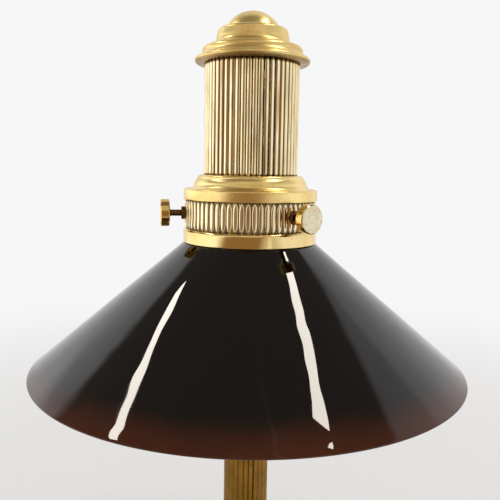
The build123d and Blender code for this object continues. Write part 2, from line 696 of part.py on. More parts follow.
def gallery_collar():
    """Turned collar over the flange: a plain ring, a cove and a shoulder, with a spigot for the chimney."""
    skirt = CUP_RADIUS + FIT
    ring_top = FLANGE_BOTTOM + COLLAR_RING
    ledge_r = CHIMNEY_RADIUS + COLLAR_LEDGE
    slope_r = ledge_r + COLLAR_SHOULDER
    cove_top = ring_top + COLLAR_EASE + COLLAR_COVE_RISE
    slope_top = cove_top + COLLAR_SLOPE_RISE
    spigot_r = CHIMNEY_BORE - FIT
    hollow_r = STAY_CIRCLE + STAY_NUT_FLATS / math.sqrt(3) + COLLAR_NUT_ROOM
    hollow_top = CHIMNEY_BOTTOM - COLLAR_WEB
    return turned(
        (skirt, FLANGE_BOTTOM),
        (COLLAR_RADIUS, FLANGE_BOTTOM),
        (COLLAR_RADIUS, ring_top),
        (COLLAR_RADIUS - COLLAR_EASE, ring_top + COLLAR_EASE, QUARTER),
        (COLLAR_RADIUS - COLLAR_EASE - COLLAR_STEP, ring_top + COLLAR_EASE),
        (slope_r + COLLAR_SLOPE_INSET, cove_top, -QUARTER),
        (slope_r, slope_top, SWELL),
        (ledge_r, CHIMNEY_BOTTOM, QUARTER),
        (spigot_r, CHIMNEY_BOTTOM),
        (spigot_r, CHIMNEY_BOTTOM + SPIGOT),
        (spigot_r - COLLAR_SPIGOT_WALL, CHIMNEY_BOTTOM + SPIGOT),
        (spigot_r - COLLAR_SPIGOT_WALL, hollow_top),
        (hollow_r, hollow_top),
        (hollow_r, FLANGE_TOP),
        (skirt, FLANGE_TOP),
    )


# Chimney and cap


def chimney():
    return reeded_tube(
        CHIMNEY_REED_COUNT, CHIMNEY_RADIUS, CHIMNEY_REED_DEPTH, CHIMNEY_BORE, CHIMNEY_BOTTOM, CHIMNEY_TOP
    )


def chimney_cap():
    """Turned cap: a round rim, a flare, a shoulder, a cove, a drum and, in a small hollow, a dome."""
    low = CHIMNEY_TOP
    rim_r = CHIMNEY_RADIUS + CAP_OVERHANG
    flare = (rim_r - CAP_RIM_INSET, low + CAP_RIM_HEIGHT)
    step = (flare[0] - CAP_FLARE_INSET, flare[1] + CAP_FLARE_RISE)
    step_top = step[1] + CAP_STEP_HEIGHT
    cove = (step[0] - CAP_SHOULDER_INSET, step_top + CAP_SHOULDER_RISE)
    drum = (cove[0] - CAP_COVE_INSET, cove[1] + CAP_COVE_RISE)
    drum_top = (drum[0] - CAP_DRUM_INSET, drum[1] + CAP_DRUM_HEIGHT)
    quirk = (drum_top[0] - CAP_TOP_INSET, drum_top[1] + CAP_TOP_RISE)
    dome = (quirk[0] - CAP_QUIRK_INSET, quirk[1] + CAP_QUIRK_RISE)
    spigot_r = CHIMNEY_BORE - FIT
    bore = spigot_r - CAP_SPIGOT_WALL
    crown_r = drum[0] - CAP_CROWN_WALL
    return turned(
        (bore, low - CAP_SPIGOT),
        (spigot_r, low - CAP_SPIGOT),
        (spigot_r, low),
        (rim_r - CAP_UNDERCUT, low),
        (*flare, ROLL),
        (*step, -QUARTER / 2),
        (step[0], step_top),
        (*cove, QUARTER),
        (*drum, -QUARTER),
        drum_top,
        (*quirk, QUARTER),
        (*dome, -QUARTER / 2),
        (0, dome[1] + CAP_DOME_HEIGHT, dome_bow(dome[0], CAP_DOME_HEIGHT)),
        (0, low + CAP_HOLLOW + CAP_CROWN_HOLLOW),
        (crown_r, low + CAP_HOLLOW + CAP_CROWN_HOLLOW),
        (crown_r, low + CAP_HOLLOW),
        (bore, low + CAP_HOLLOW),
    )


# Glass shade


def glass_shade():
    """Blown cone with a ground rim and a straight neck whose lip hangs on the tips of the thumb screws."""
    nose = (SHADE_RADIUS - RIM_ROUND, RIM_HEIGHT + RIM_ROUND)
    top = (RING_RADIUS - SHADE_TOP_INSET, GALLERY_BOTTOM - SHADE_TOP_DROP)
    length = math.dist(nose, top)
    normal = ((top[1] - nose[1]) / length, (nose[0] - top[0]) / length)
    slope = normal[1] / normal[0]
    face = (nose[0] + normal[0] * RIM_ROUND, nose[1] + normal[1] * RIM_ROUND)
    nose_turn = math.pi / 2 + math.atan2(normal[1], normal[0])

    def under(radius, depth):
        """The point at a radius that lies a depth under the outer face of the cone."""
        return (radius, face[1] + (face[0] - radius) / slope - depth / normal[1])

    neck_in = NECK_RADIUS - GLASS
    shoulder = under(NECK_RADIUS + NECK_ROUND, 0)
    inner = under(neck_in + NECK_ROUND, GLASS)
    rim_in = face[0] + (face[1] - RIM_HEIGHT) * slope - RIM_GLASS / normal[0]
    lip = SCREW_HEIGHT + TIP_RADIUS + SEAT_GAP
    return turned(
        (rim_in, RIM_HEIGHT),
        (nose[0], RIM_HEIGHT),
        (*face, math.tan(nose_turn / 4) / 2),
        shoulder,
        (NECK_RADIUS, shoulder[1] + NECK_ROUND, -QUARTER / 2),
        (NECK_RADIUS, lip),
        (NECK_RADIUS + LIP_OUT, lip + LIP_OUT),
        (NECK_RADIUS, lip + 2 * LIP_OUT, QUARTER),
        (neck_in, lip + 2 * LIP_OUT),
        (neck_in, inner[1] + NECK_ROUND),
        (*inner, QUARTER / 2),
    )


# Thumb screws


def screw_end():
    """Distance of a screw's inner end from the lamp's axis, when its tip is on the glass."""
    return NECK_RADIUS + EASE + TIP_OUT


def thumb_screw(angle):
    """Plain screw with a disc head and a pocket in its end for the tip."""
    end = screw_end()
    head = BOSS_OUT + SHANK_SHOWN
    face = head + HEAD_THICKNESS
    screw = turned(
        (0, end),
        (SCREW_RADIUS, end),
        (SCREW_RADIUS, head - HEAD_NECK),
        (SCREW_RADIUS + HEAD_NECK_WALL, head, -QUARTER),
        (HEAD_RADIUS - HEAD_BEVEL, head),
        (HEAD_RADIUS, head + HEAD_BEVEL),
        (HEAD_RADIUS, face - HEAD_BEVEL),
        (HEAD_RADIUS - HEAD_BEVEL, face),
        (0, face),
    )
    screw -= plug(TIP_RADIUS + RUN, end, end + TIP_SEATED + TIP_POCKET_SPARE)
    return radial(screw, angle, SCREW_HEIGHT)


def screw_tip(angle):
    """Soft pin in the end of a thumb screw, which bears on the glass and doesn't turn with the screw."""
    end = screw_end()
    return radial(plug(TIP_RADIUS, end - TIP_OUT, end + TIP_SEATED), angle, SCREW_HEIGHT)


parts = {
    "felt_pad": felt_pad(),
    "base_shell": base_shell(),
    "base_weight": base_weight(),
    "base_washer": base_washer(),
    "base_nut": base_nut(),
    "cord_bush": cord_bush(),
    "stem_tube": stem_tube(),
    "column_foot": column_foot(),
    "reeded_column": reeded_column(),
    "column_capital": column_capital(),
    "stay_spider": stay_spider(),
    "stay_lower_nuts": stay_nuts(SPIDER_BOTTOM - STAY_NUT),
    "stay_upper_nuts": stay_nuts(FLANGE_TOP),
    "holder_cup": holder_cup(),
    "holder_skirt": holder_skirt(),
    "holder_insulator": holder_insulator(),
    "holder_screw_shell": holder_screw_shell(),
    "holder_contact": holder_contact(),
    "terminal_screws": terminal_screws(),
    "bulb_contact": bulb_contact(),
    "bulb_insulator": bulb_insulator(),
    "bulb_cap": bulb_cap(),
    "bulb_glass": bulb_glass(),
    "gallery_cup": gallery_cup(),
    "reeded_band": reeded_band(),
    "screw_bosses": screw_bosses(),
    "gallery_collar": gallery_collar(),
    "chimney": chimney(),
    "chimney_cap": chimney_cap(),
    "glass_shade": glass_shade(),
}
for number, stay_angle in enumerate(stay_angles(), start=1):
    parts[f"stay_rod_{number}"] = stay_rod(stay_angle)
for number, screw_angle in enumerate(screw_angles(), start=1):
    parts[f"thumb_screw_{number}"] = thumb_screw(screw_angle)
    parts[f"screw_tip_{number}"] = screw_tip(screw_angle)

os.makedirs("parts", exist_ok=True)
for name, part in parts.items():
    export_step(part, f"parts/{name}.step")
print("total height", round(parts["chimney_cap"].bounding_box().max.Z, 2))
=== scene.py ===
import json
import math
import random

import bmesh
import bpy
from mathutils import Matrix, Vector, noise

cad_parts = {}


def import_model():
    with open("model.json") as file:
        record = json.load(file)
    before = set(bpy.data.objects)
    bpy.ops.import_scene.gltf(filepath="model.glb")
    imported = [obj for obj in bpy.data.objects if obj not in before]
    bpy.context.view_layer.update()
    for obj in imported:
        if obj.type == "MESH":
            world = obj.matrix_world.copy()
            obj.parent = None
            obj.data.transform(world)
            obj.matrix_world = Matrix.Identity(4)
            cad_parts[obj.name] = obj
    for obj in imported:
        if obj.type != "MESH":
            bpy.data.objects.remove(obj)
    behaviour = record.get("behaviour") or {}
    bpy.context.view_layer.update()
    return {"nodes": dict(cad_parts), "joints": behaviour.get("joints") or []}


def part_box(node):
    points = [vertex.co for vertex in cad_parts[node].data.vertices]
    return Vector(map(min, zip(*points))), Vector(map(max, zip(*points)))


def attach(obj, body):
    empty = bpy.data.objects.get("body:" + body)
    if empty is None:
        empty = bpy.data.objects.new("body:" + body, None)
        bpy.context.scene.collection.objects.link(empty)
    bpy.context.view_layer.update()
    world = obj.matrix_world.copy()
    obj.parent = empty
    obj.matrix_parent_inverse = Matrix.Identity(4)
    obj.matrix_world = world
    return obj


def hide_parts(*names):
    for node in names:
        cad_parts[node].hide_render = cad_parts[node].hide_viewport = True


# A brass table lamp with a conical glass shade: the looks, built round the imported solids.
# Metres, in the frame of the solids.
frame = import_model()
nodes = frame["nodes"]

MM = 0.001
IDENTITY = Matrix.Identity(4)

# Fineness of the meshes
SEGMENTS = 192  # round a large turned piece
SMALL_SEGMENTS = 64  # round a small one
SHADE_SEGMENTS = 384
DRILL_SEGMENTS = 32
EDGE = 0.3 * MM  # rounding of turned edges
SHARP = math.radians(24)  # corners that turn by more than this are rounded
FLAT = math.radians(1)  # facets that turn by less than this are one face
CORNER_STEPS = 4
CORNER_ROOM = 0.3  # the most of a stretch that a rounded corner takes at either end
BEVEL_STEPS = 3
SEAM_TOLERANCE = 0.003 * MM
HOLLOW_REACH = 3.0 * MM  # how near the higher places are between which a hollow gets patina and painted shade
HOLLOW_DEPTH = 0.6 * MM  # how deep the hollows with the most painted shade are

# Holes
BOSS_SPIGOT = 3.0 * MM  # radius of the holes for the bosses in the cup
BOSS_PLAY = 0.1 * MM
STAY_HOLE = 2.1 * MM
BUSH_HOLE = 4.3 * MM
CUP_INSIDE = 35 * MM  # radius at which the drill for the bosses starts in the cup
BAND_INSIDE = 38 * MM  # and in the band
STAY_LEAD = 3 * MM  # how far below the collar the drill for the stays starts
BUSH_LEAD = 1 * MM  # how far inside the bush the drill for it starts
CUP_DRILL = 8 * MM
BAND_DRILL = 10 * MM
BUSH_DRILL = 12 * MM

# Reeded tubes
CHIMNEY_REEDS = 52
COLUMN_REEDS = 26
REED_POINTS = 15  # across one reed
REED_ROW = 1.6 * MM
REED_WALL = 0.5 * MM  # least wall under the grooves
REED_DENT = 0.02 * MM
DENT_LENGTH = 14 * MM
DENT_APART = 3.7  # how far apart two reeds lie in the noise of the dents
REED_UNEVEN = 0.05 * MM  # how far whole reeds may lie low
REED_SHIFT = 0.07  # how far grooves stray sideways, as a share of a reed
GROOVE_CUT = 0.18 * MM  # the sharp bottom of a groove
END_SHADE = 0.7 * MM  # painted shade at the ends of a reeded tube, where it meets the pieces at its ends
MOST_GRIME = 0.45  # in a groove without old lacquer
FRONT_ANGLE = 270  # degrees from +X to the front
BLACK_GROOVES = (1, 15, 22, 29)  # degrees to the right of the front, where old lacquer has stayed
BLACK_REACH = 3  # degrees to either side of these

# Ribbed band
BAND_SEED = 3
BAND_RIBS = 69
BAND_RIB_DEPTH = 0.95 * MM
BAND_RIB_GAP = 0.05 * MM
BAND_RECESS = 0.2 * MM
RIB_FULLNESS = 4  # how little a rib narrows before its pointed ends
RIB_STRAIGHT = 8  # how long its crest stays at full height
RIB_TIP = 0.03  # the share of its width and height that is left at the ends
RIB_ROUND = 0.35  # the share of its height that falls off evenly, and not only at the flanks
RIB_POINTS = 13
RIB_ROWS = 41
LEAST_RIB_GRIME = 0.1
MORE_RIB_GRIME = 0.6  # how much the grime differs from rib to rib
RIB_TONE = 0.8

# Threads
SCREW_PITCH = 0.7 * MM
SCREW_THREAD = 0.38 * MM
SCREW_EDGE = 0.2 * MM
SCREW_LEAD = 1 * MM  # plain stretch at the tip
SCREW_NECK = 1.2 * MM  # stretch under the head that needs no rows for the thread
THREAD_END = 1.6 * MM  # how far below the head the thread runs out
HEAD_BACK = 0.1 * MM  # how far below the head the dark shank ends
FACE_DEPTH = 0.02 * MM
BULB_PITCH = 3.63 * MM
BULB_THREAD = 0.9 * MM
BULB_PLAIN = 2 * MM  # stretch without a thread at either end of the bulb's cap
THREAD_ROWS = 8  # to one turn

# Glass shade
SHADE_ROW = 1.8 * MM
SHADE_EDGE = 0.5 * MM
WAVE_HEIGHT = 0.18 * MM
WAVE_LENGTH = 38 * MM
RIPPLE_HEIGHT = 0.12 * MM
RIPPLE_LENGTH = 14 * MM
RIPPLE_SHIFT = Vector((9.1, 4.7, 2.3))  # keeps ripples and waves apart in the noise
CALM_NECK = (45 * MM, 65 * MM)  # radii between which the waves come in
CALM_RIM = (135 * MM, 139 * MM)  # radii between which they run out
INWARD = -0.05  # faces that look in by more than this are white
DOWNWARD = -0.75  # and so are those that look down by more than this

# Camera, solved from the outlines in the photograph
CAMERA_PLACE = Vector((0.0004, -0.397, 0.333))
CAMERA_PITCH = math.radians(90 - 7.62)
CAMERA_ROLL = math.radians(0.98)
CAMERA_LENS = 43.87
CAMERA_SENSOR = 36.0
CAMERA_NEAR = 0.01

# Studio
BACKGROUND = (0.925, 0.925, 0.935)
FLOOR_HALF = 30.0
FLOOR_TONES = ((0.90, 0.90, 0.905), (0.88, 0.88, 0.885))
FLOOR_FADE = (0.35, 1.2)  # distances from the lamp between which the floor runs out into the background
GLOSS_FADE = (0.25, 0.7)  # the same, as metal and glass show the floor
FILL = (0.68, 0.68, 0.68)
CEILING = (0.19, 0.175, 0.155)
FRONT_HIGH = (0.68, 0.62, 0.52)
FRONT_LOW = (0.30, 0.185, 0.09)
FRONT_RISE = (0.20, 0.50)  # slopes between which the low front runs out upwards
FRONT_PLANE = ((0, -1, -0.3), 0.0, 0.3)
RIGHT_WALL = (0.68, 0.68, 0.68)
LEFT_WALL = (1.45, 1.45, 1.45)
RIGHT_LOW = (1.0, 1.0, 1.0)
SKYLIGHT = (0.72, 0.69, 0.63)
WINDOW = (1.0, 1.0, 1.0)
ROOM = (  # tones, and the planes that bound each: which way it lies, and between which values it comes in
    (RIGHT_WALL, ((1, 0.37, -0.99), 0.0, 0.10), ((0.94, 0.34, 0), -0.2, 0.2)),
    (BACKGROUND, ((0, 1, -0.64), 0.0, 0.12)),
    (SKYLIGHT, ((0, 1, -0.2), 0.0, 0.2), ((1, 0, 0.55), 0.0, 0.15), ((-1, 0, 0.55), 0.0, 0.15)),
    (LEFT_WALL, ((-1, 0, -1.9), 0.0, 0.25), ((-0.71, 0.71, 1.0), -0.2, 0.2), ((-0.8, -0.6, 0), 0.0, 0.3)),
    (RIGHT_LOW, ((1, 0, -1.9), 0.0, 0.25), ((0.71, 0.71, 1.0), -0.2, 0.2), ((0.8, -0.6, 0), 0.0, 0.3)),
    (WINDOW, ((0.87, 0.48, 0), 0.0, 0.06), ((-0.78, -0.63, 0), 0.0, 0.06)),
)
STRIP_HEIGHT = 1.75
STRIP_WIDTH = 0.135
STRIP_RADIANCE = 17.0
STRIP_COLOR = (1.0, 0.93, 0.83)
STRIPS = (  # name, place in X and Y, length, and degrees turned from the line of sight
    ("right_strip", 0.737, 0.045, 0.77, 0),
    ("left_strip", -1.267, 0.24, 0.75, -16.4),
)


# Outlines of turned pieces


def radial_place(angle, height):
    """Stands a part made along +Z out from the lamp's axis."""
    turn = Matrix.Rotation(angle, 4, "Z")
    return turn @ Matrix.Translation((0, 0, height)) @ Matrix.Rotation(math.pi / 2, 4, "Y")


def seam(node, place=IDENTITY):
    """Outline of a turned node, as (radius, height) points in order along the seam of its mesh."""
    mesh = nodes[node].data
    back = place.inverted()
    points = {}
    for vertex in mesh.vertices:
        spot = back @ vertex.co
        if abs(spot.y) < SEAM_TOLERANCE and spot.x > -SEAM_TOLERANCE:
            points[vertex.index] = (max(0.0, round(spot.x, 7)), round(spot.z, 7))
    links = {}
    for edge in mesh.edges:
        ends = [points.get(i) for i in edge.vertices]
        if None not in ends and math.dist(*ends) > SEAM_TOLERANCE:
            for one, other in (ends, ends[::-1]):
                links.setdefault(near(links, one), set()).add(other)
    links = joined(links)
    close_flats(links)
    return walk(links)


def near(known, point):
    """The point itself, or one already known at the same place."""
    for other in known:
        if math.dist(other, point) < SEAM_TOLERANCE:
            return other
    return point


def joined(links):
    """Links between points, with points at the same place taken as one."""
    tidy = {}
    for point, others in links.items():
        tidy.setdefault(point, set()).update(near(links, other) for other in others)
    return {point: {o for o in others if o != point} for point, others in tidy.items()}


def close_flats(links):
    """Flat faces have no seam: loose ends at one height are joined, and a lone one runs to the axis."""
    loose = [point for point, others in links.items() if len(others) == 1 and point[0] > SEAM_TOLERANCE]
    while loose:
        point = loose.pop()
        level = [other for other in loose if abs(other[1] - point[1]) < SEAM_TOLERANCE]
        if level:
            mate = min(level, key=lambda other: abs(other[0] - point[0]))
            loose.remove(mate)
        else:
            mate = (0.0, point[1])
        links[point].add(mate)
        links.setdefault(mate, set()).add(point)


def walk(links):
    """The linked points in order, from the axis where the outline has an end there."""
    ends = sorted((p for p, others in links.items() if len(others) == 1), key=lambda p: p[1])
    start = ends[0] if ends else min(links, key=lambda p: (p[1], p[0]))
    order = [start]
    while True:
        onward = [p for p in sorted(links[order[-1]]) if p not in order]
        if not onward:
            return order
        order.append(onward[0])


def softened(outline, edge=EDGE):
    """The outline with each sharp corner drawn as a small arc between two close supporting points."""
    closed = outline[0][0] > SEAM_TOLERANCE or outline[-1][0] > SEAM_TOLERANCE
    spots = [Vector(p) for p in outline]
    soft = []
    for i, spot in enumerate(spots):
        if not closed and i in (0, len(spots) - 1):
            soft.append(spot)
            continue
        into = spot - spots[i - 1]
        out = spots[(i + 1) % len(spots)] - spot
        bend = into.angle(out)
        if bend < SHARP:
            soft.append(spot)
            continue
        room = CORNER_ROOM * min(into.length, out.length)
        cut = min(edge * math.tan(bend / 2), room)
        rest = min(edge, room)
        begin = spot - into.normalized() * cut
        end = spot + out.normalized() * cut
        soft.append(begin - into.normalized() * rest)
        for step in range(CORNER_STEPS + 1):
            share = step / CORNER_STEPS
            soft.append(begin.lerp(spot, share).lerp(spot.lerp(end, share), share))
        soft.append(end + out.normalized() * rest)
    return [(p.x, p.y) for p in soft]


def divided(outline, row, low=-1.0, high=1.0):
    """The outline with extra points, so that no stretch between two heights is longer than a row."""
    points = [outline[0]]
    for begin, end in zip(outline, outline[1:] + outline[:1]):
        inside = low <= min(begin[1], end[1]) and max(begin[1], end[1]) <= high
        steps = max(1, math.ceil(math.dist(begin, end) / row)) if inside else 1
        for step in range(1, steps + 1):
            share = step / steps
            points.append(tuple(a + (b - a) * share for a, b in zip(begin, end)))
    return points[:-1]


# Meshes


def polar(radius, turn, height):
    """The place at a radius from the lamp's axis, an angle round it and a height."""
    return (radius * math.cos(turn), radius * math.sin(turn), height)


def ring_of(bm, radius, height, segments, relief):
    """One ring of vertices about Z, or a single one on the axis."""
    if radius < SEAM_TOLERANCE:
        return [bm.verts.new((0, 0, height))]
    ring = []
    for i in range(segments):
        turn = 2 * math.pi * i / segments
        proud = relief(radius, height, turn) if relief else 0
        ring.append(bm.verts.new(polar(radius + proud, turn, height)))
    return ring


def span(bm, one, other):
    """Faces between two rings of as many vertices, or between a ring and a vertex on the axis."""
    count = max(len(one), len(other))
    for i in range(count if count > 1 else 0):
        j = (i + 1) % count
        corners = [one[i % len(one)], one[j % len(one)], other[j % len(other)], other[i % len(other)]]
        bm.faces.new(list(dict.fromkeys(corners)))


def hollows(outline):
    """How deep each point of an outline lies between higher places above and below it, from 0 to 1."""
    depths = []
    for r, z in outline:
        above = max([r] + [other for other, height in outline if 0 < height - z < HOLLOW_REACH])
        below = max([r] + [other for other, height in outline if 0 < z - height < HOLLOW_REACH])
        depths.append(min(1.0, (min(above, below) - r) / HOLLOW_DEPTH))
    return depths


def lathe(outline, segments=SEGMENTS, relief=None):
    """A closed mesh turned about Z. relief gives how far a place stands off the turned form."""
    bm = bmesh.new()
    groove = bm.verts.layers.float.new("groove")
    rings = [ring_of(bm, r, z, segments, relief) for r, z in outline]
    # the depth of each hollow sets how much painted shade, with some patina, the brass puts there
    for ring, depth in zip(rings, hollows(outline)):
        for vertex in ring:
            vertex[groove] = depth
    pairs = list(zip(rings, rings[1:]))
    if len(rings[0]) > 1:
        pairs.append((rings[-1], rings[0]))
    for one, other in pairs:
        span(bm, one, other)
    bmesh.ops.recalc_face_normals(bm, faces=bm.faces)
    return bm


def piece(name, bm, materials, slot, stands_for, body="lamp", place=IDENTITY, pick=None):
    """Makes a smooth piece of a mesh, on its body in place of a node. pick gives a face's material."""
    mesh = bpy.data.meshes.new(name)
    for face in bm.faces:
        face.smooth = True
        face.material_index = pick(face) if pick else 0
    bm.to_mesh(mesh)
    bm.free()
    mesh.transform(place)
    for finish in materials:
        mesh.materials.append(finish)
    obj = bpy.data.objects.new(name, mesh)
    bpy.context.scene.collection.objects.link(obj)
    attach(obj, body)
    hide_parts(*stands_for)
    return obj


def drill(obj, radius, places, start, length):
    """Cuts a round hole along the local Z of each place, from a start over a length."""
    for place in places:
        bm = lathe([(0, 0), (radius, 0), (radius, length), (0, length)], DRILL_SEGMENTS)
        bm.transform(place @ Matrix.Translation((0, 0, start)))
        mesh = bpy.data.meshes.new("drill")
        bm.to_mesh(mesh)
        bm.free()
        tool = bpy.data.objects.new("drill", mesh)
        bpy.context.scene.collection.objects.link(tool)
        cut = obj.modifiers.new("hole", "BOOLEAN")
        cut.object = tool
        cut.solver = "EXACT"
        with bpy.context.temp_override(object=obj, active_object=obj, selected_objects=[obj]):
            bpy.ops.object.modifier_apply(modifier=cut.name)
        bpy.data.objects.remove(tool)
        bpy.data.meshes.remove(mesh)


def bevelled(node, width):
    """A copy of a flat-sided node's mesh with its sharp edges rounded."""
    bm = bmesh.new()
    bm.from_mesh(nodes[node].data)
    bmesh.ops.remove_doubles(bm, verts=bm.verts, dist=SEAM_TOLERANCE)
    bmesh.ops.dissolve_limit(bm, angle_limit=FLAT, verts=bm.verts, edges=bm.edges)
    crisp = [e for e in bm.edges if e.is_manifold and e.calc_face_angle() > SHARP]
    bmesh.ops.bevel(bm, geom=crisp, offset=width, segments=BEVEL_STEPS, profile=0.5, affect="EDGES",
                    clamp_overlap=True)
    bmesh.ops.triangulate(bm, faces=[f for f in bm.faces if len(f.verts) > 4])
    return bm


# Shader helpers


def add(tree, kind, settings=None, **inputs):
    """Adds a node with settings, and with values or other nodes' outputs on its inputs."""
    made = tree.nodes.new(kind)
    for key, value in (settings or {}).items():
        setattr(made, key, value)
    for key, value in inputs.items():
        feed(tree, made.inputs[key.replace("_", " ")], value)
    return made


def feed(tree, socket, value):
    """Puts a value on a socket, or links another node's output to it."""
    if isinstance(value, bpy.types.NodeSocket):
        tree.links.new(value, socket)
    else:
        socket.default_value = value


def rgba(color):
    return (*color, 1.0)


def mixed(tree, factor, one, other):
    """The colour between two, by a factor."""
    mix = tree.nodes.new("ShaderNodeMix")
    mix.data_type = "RGBA"
    for index, value in ((0, factor), (6, one), (7, other)):
        feed(tree, mix.inputs[index], rgba(value) if isinstance(value, tuple) else value)
    return mix.outputs[2]


def sums(tree, operation, one, other=0.0):
    """A sum on one or two values, held between 0 and 1."""
    made = add(tree, "ShaderNodeMath", {"operation": operation, "use_clamp": True})
    feed(tree, made.inputs[0], one)
    feed(tree, made.inputs[1], other)
    return made.outputs[0]


def grain(tree, cells, stretch=(1, 1, 1), detail=4.0, rough=0.55):
    """Noise in the part's own coordinates, with that many cells to a metre."""
    spot = add(tree, "ShaderNodeTexCoord").outputs["Object"]
    bent = add(tree, "ShaderNodeMapping", Vector=spot, Scale=stretch).outputs[0]
    made = add(tree, "ShaderNodeTexNoise", Vector=bent, Scale=cells, Detail=detail, Roughness=rough)
    return made.outputs["Fac"]


def ramp(tree, value, low, high, out_low=0.0, out_high=1.0):
    """A value spread smoothly from one range to another."""
    made = add(tree, "ShaderNodeMapRange", {"interpolation_type": "SMOOTHSTEP"}, Value=value)
    for key, number in (("From Min", low), ("From Max", high), ("To Min", out_low), ("To Max", out_high)):
        made.inputs[key].default_value = number
    return made.outputs[0]


def bumped(tree, shader, height, strength, distance):
    """Roughens a shader's surface by a height."""
    bump = add(tree, "ShaderNodeBump", Height=height, Strength=strength, Distance=distance)
    tree.links.new(bump.outputs[0], shader.inputs["Normal"])


def material(name):
    """A new material, with its node tree and its shader."""
    made = bpy.data.materials.new(name)
    made.use_nodes = True
    tree = made.node_tree
    return made, tree, tree.nodes["Principled BSDF"]


def value_of(tree, name):
    """A value that the mesh keeps at each vertex."""
    return add(tree, "ShaderNodeAttribute", {"attribute_name": name}).outputs["Fac"]


# Brass

PALE_BRASS = (0.91, 0.78, 0.48)
YELLOW_BRASS = (0.87, 0.68, 0.33)
LIGHT_BRASS = (0.98, 0.765, 0.32)
GOLD_BRASS = (0.90, 0.70, 0.32)
DEEP_BRASS = (0.81, 0.56, 0.20)
BRONZED_BRASS = (0.58, 0.37, 0.12)
# dark brown brass for the column: some age, mostly painted shade from the glass shade over it and a painted
# dark reflection
SHADED_AGED_BRASS = (0.35, 0.18, 0.025)
SHADED_OLD_BRASS = (0.23, 0.11, 0.012)
WORN_HIGHLIGHT_BRASS = (0.96, 0.88, 0.66)  # paler on the crests: rubbed bright, and painted highlight
BROWN_BRASS = (0.24, 0.13, 0.04)
DARK_BROWN = (0.07, 0.045, 0.022)
TARNISH = (0.022, 0.014, 0.009)
SANDED = ((0.84, 0.77, 0.58), (0.76, 0.66, 0.44))
SANDED_BLOT = (0.52, 0.42, 0.26)
SANDED_SPECK = (0.34, 0.24, 0.12)
LATHE_STRETCH = (0.02, 0.02, 1.0)
BRASS_BUMP = 0.02 * MM

# Between which values of their noise things come in
EVEN = (0.3, 0.7)
CLOUDS = (0.35, 0.70)
MOTTLES = (0.52, 0.80)
PATCHES = (0.35, 0.65)
STAINS = (0.54, 0.70)
PITS = (0.66, 0.74)
PITTED_PLACES = (0.45, 0.65)
BROKEN_LINES = (0.34, 0.54)
BLOTS = (0.54, 0.68)
SPECKS = (0.56, 0.70)
UNEVEN_GLOSS = (0.2, 0.9)

# Shares of the way from crest to groove, and slopes of the surface
CRESTS = (0.0, 0.5)  # between which the pale crest brass (wear and painted highlight) runs out
HOLLOW_PATINA_AND_SHADE = (0.5, 1.0)  # between which brown comes in: patina, and painted shade in the hollows
BLACK_LINE = (0.55, 0.75)  # between which old lacquer comes in
PAINTED_UNDERSIDE_SHADE = (-0.5, 0.3)  # slopes between which the painted shade on an underside runs out


def brass_tone(tree, bright, deep, cloud, mottle, low, worn_and_highlight, streaks, painted_underside_shade):
    """Colour of the metal: cloudy, with brown streaks, paler on crests (wear and painted highlight), browner
    in hollows (patina and painted shade) and on undersides (painted shade).
    """
    color = mixed(tree, cloud, bright, deep)
    color = mixed(tree, ramp(tree, mottle, *MOTTLES, out_high=0.3), color, BROWN_BRASS)
    # crests paler: wear, and painted highlight
    color = mixed(tree, ramp(tree, low, *CRESTS, out_low=worn_and_highlight, out_high=0.0), color, WORN_HIGHLIGHT_BRASS)
    patch = ramp(tree, grain(tree, cells=90, stretch=(1, 1, 0.3)), *PATCHES)
    tone = sums(tree, "MULTIPLY", value_of(tree, "tone"), patch)
    color = mixed(tree, sums(tree, "MULTIPLY", tone, 0.5), color, BROWN_BRASS)
    if streaks:
        stain = ramp(tree, grain(tree, cells=420, stretch=(1, 1, 0.07)), *STAINS, out_high=streaks)
        color = mixed(tree, stain, color, BROWN_BRASS)
    # browner down in grooves and hollows: patina, and painted shade
    color = mixed(tree, ramp(tree, low, *HOLLOW_PATINA_AND_SHADE, out_high=0.7), color, BROWN_BRASS)
    # painted shade: faces that look down are made browner
    if painted_underside_shade:
        facing = add(tree, "ShaderNodeNewGeometry").outputs["Normal"]
        slope = add(tree, "ShaderNodeSeparateXYZ", Vector=facing).outputs["Z"]
        color = mixed(tree, ramp(tree, slope, *PAINTED_UNDERSIDE_SHADE, out_low=painted_underside_shade, out_high=0.0), color, BROWN_BRASS)
    return color


def brass_dirt(tree, low, specks):
    """How black a place is: pits here and there, broken lines of old lacquer in some grooves, and broken dark
    lines of painted shade along the ends of reeded tubes.
    """
    pits = ramp(tree, grain(tree, cells=1500, detail=2.0), *PITS, out_high=specks)
    pits = sums(tree, "MULTIPLY", pits, ramp(tree, grain(tree, cells=120), *PITTED_PLACES))
    broken = ramp(tree, grain(tree, cells=260, stretch=(1, 1, 0.35), detail=5.0, rough=0.7), *BROKEN_LINES)
    # grime also holds the painted shade at the ends of reeded tubes
    line = sums(tree, "MULTIPLY", ramp(tree, low, *BLACK_LINE), value_of(tree, "grime"))
    return sums(tree, "ADD", pits, sums(tree, "MULTIPLY", line, broken))


